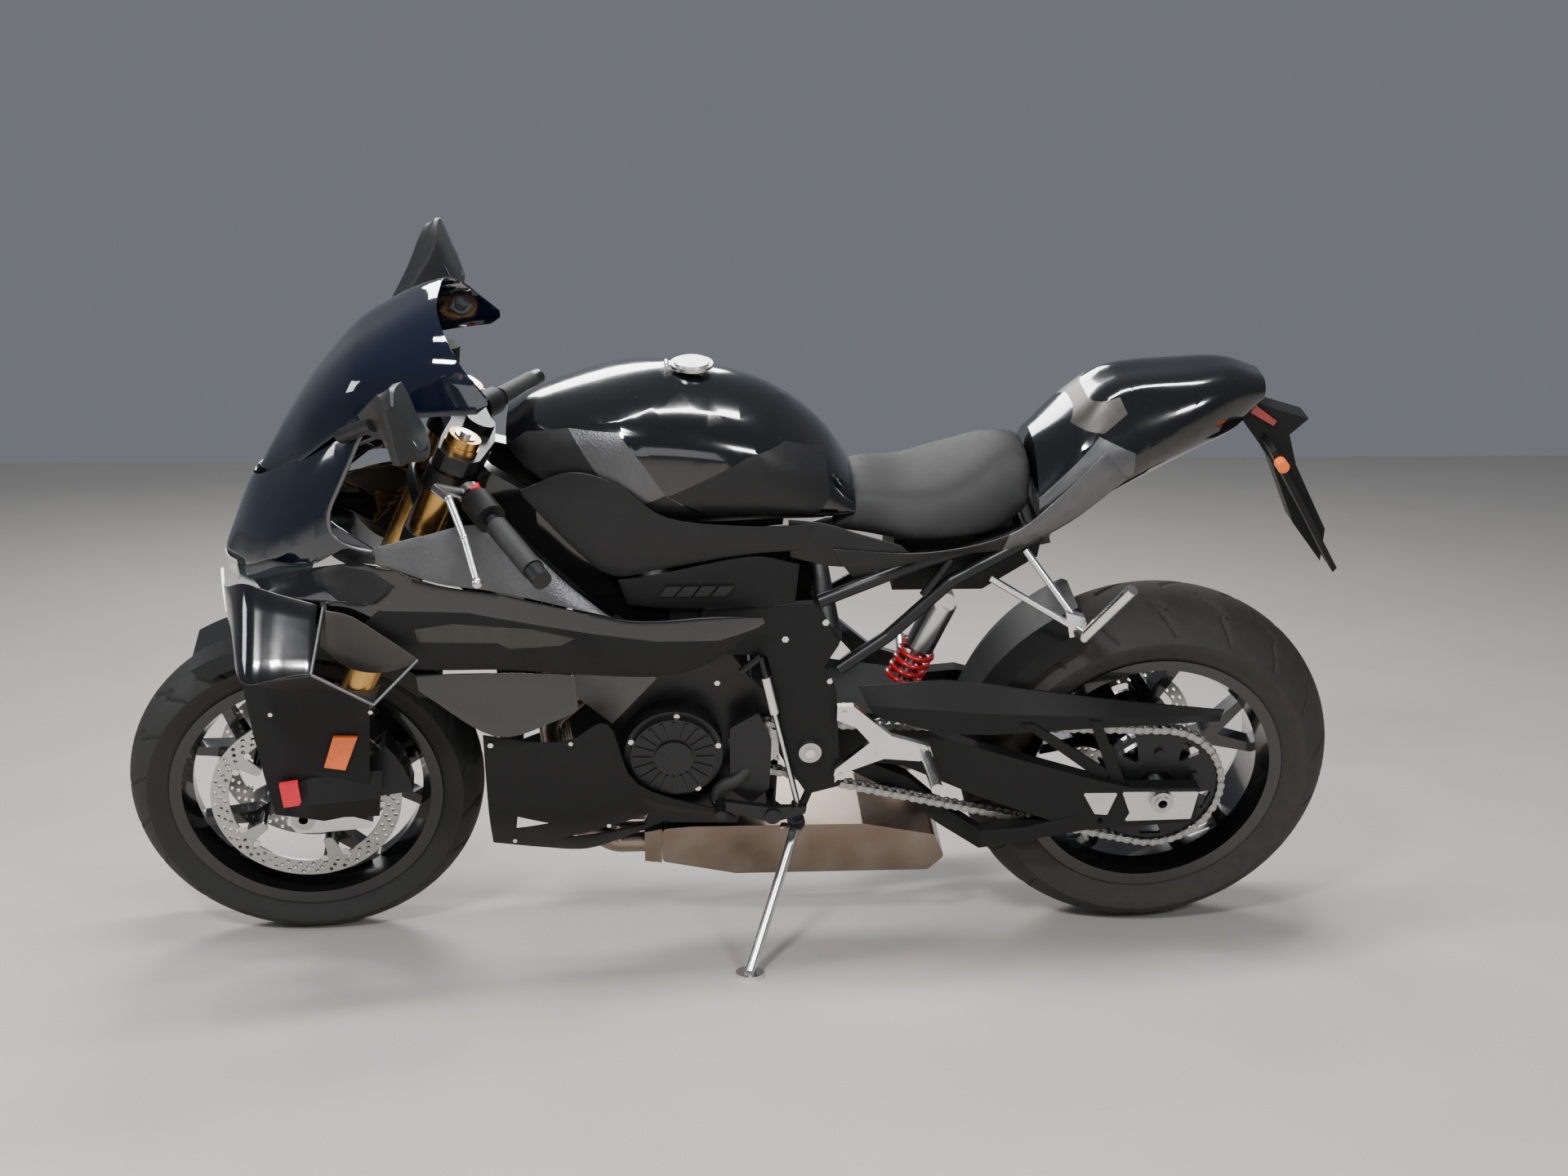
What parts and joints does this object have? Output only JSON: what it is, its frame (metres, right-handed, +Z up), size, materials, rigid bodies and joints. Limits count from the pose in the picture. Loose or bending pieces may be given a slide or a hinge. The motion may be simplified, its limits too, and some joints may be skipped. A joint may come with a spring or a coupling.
{
  "type": "sport motorcycle",
  "caption": "Faired sport motorcycle leaning on its side stand, with clip-on bars, bubble windscreen, open engine bay, chain drive and folding foot rests.",
  "frame": {"origin": "middle of the bounding box's bottom, on the ground", "axes": "+X the way the motorcycle faces, +Y to the rider's left, the side it leans to, +Z up"},
  "size_m": [2.0824, 0.8772, 1.2356],
  "materials": {
    "black_paint": "gloss black with a fine metal flake",
    "black_gloss_panel": "gloss black with a fine flake",
    "satin_black_panel": "satin black",
    "black_metal": "satin black",
    "grey_panel": "metallic grey",
    "gold_tube": "gold anodised",
    "bare_aluminium": "satin",
    "bare_steel": "brushed",
    "heat_tinted_steel": "heat tinted",
    "cast_grey": "rough cast",
    "tyre_rubber": "matte",
    "grip_rubber": "matte",
    "seat_vinyl": "grained",
    "tinted_screen": "dark blue tint",
    "lamp_lens": "clear",
    "display_glass": "dark",
    "orange_lens": "gloss",
    "red_paint": "gloss"
  },
  "bodies": {
    "chassis": {"main_frame": "black_paint", "engine_block": "black_metal", "cylinder_head": "cast_grey", "engine_covers": "black_metal", "radiator": "black_metal", "exhaust_headers": "heat_tinted_steel", "exhaust_box": "heat_tinted_steel", "silencer": "heat_tinted_steel", "swingarm": "black_metal", "swingarm_pivot_bolt": "bare_steel", "rear_axle": "bare_steel", "chain_adjusters": "bare_aluminium", "front_sprocket": "bare_steel", "drive_chain": "bare_steel", "chain_guard": "satin_black_panel", "rear_hugger": "satin_black_panel", "rear_caliper": "black_metal", "shock_absorber": "bare_aluminium", "shock_spring": "red_paint", "subframe": "black_metal", "fuel_tank": "black_paint", "side_covers": "satin_black_panel", "seat": "seat_vinyl", "tail_cowl": "black_gloss_panel", "tail_side_panels": "grey_panel", "undertray": "satin_black_panel", "plate_holder": "satin_black_panel", "rider_footrests": "bare_aluminium", "passenger_footrests": "bare_aluminium", "foot_controls": "black_metal", "side_fairings": "satin_black_panel", "belly_pan": "satin_black_panel", "nose_cowl": "black_gloss_panel", "winglets": "grey_panel", "windscreen": "tinted_screen", "lamps": "lamp_lens", "mirrors": "satin_black_panel", "instrument_display": "display_glass"},
    "steering": {"fork_tubes": "gold_tube", "fork_legs": "bare_aluminium", "lower_yoke": "black_metal", "upper_yoke": "black_metal", "handlebars": "black_metal", "grips": "grip_rubber", "bar_controls": "satin_black_panel", "levers": "bare_aluminium", "front_axle": "bare_steel", "front_fender": "satin_black_panel", "fender_side_covers": "satin_black_panel", "reflectors": "orange_lens", "front_calipers": "black_metal"},
    "front_wheel": {"front_rim": "black_paint", "front_tyre": "tyre_rubber", "front_brake_discs": "bare_steel"},
    "rear_wheel": {"rear_rim": "black_paint", "rear_tyre": "tyre_rubber", "rear_brake_disc": "bare_steel", "rear_sprocket": "black_metal"},
    "side_stand": {"side_stand": "bare_aluminium"},
    "filler_cap": {"filler_cap": "bare_aluminium"}
  },
  "joints": [
    {"name": "steering_turn", "type": "hinge", "parent": "chassis", "child": "steering", "pos_m": [0.46006, -0.04322, 0.85076], "axis": [-0.3989, 0.2217, 0.8898], "range_deg": [-27.8, 22.2]},
    {"name": "front_wheel_spin", "type": "hinge", "parent": "steering", "child": "front_wheel", "pos_m": [0.74156, -0.18097, 0.29201], "axis": [-0.0452, 0.9644, -0.2605], "continuous": true},
    {"name": "rear_wheel_spin", "type": "hinge", "parent": "chassis", "child": "rear_wheel", "pos_m": [-0.71532, -0.17607, 0.31983], "axis": [-0.0004, 0.9703, -0.2419], "continuous": true},
    {"name": "side_stand_fold", "type": "hinge", "parent": "chassis", "child": "side_stand", "pos_m": [-0.09756, -0.10224, 0.22225], "axis": [0.129, 0.81, 0.572], "range_deg": [0, 94.4]},
    {"name": "filler_cap_lift", "type": "hinge", "parent": "chassis", "child": "filler_cap", "pos_m": [0.12476, 0.00214, 1.03324], "axis": [-0.0004, 0.9703, -0.2419], "range_deg": [0, 95]}
  ]
}
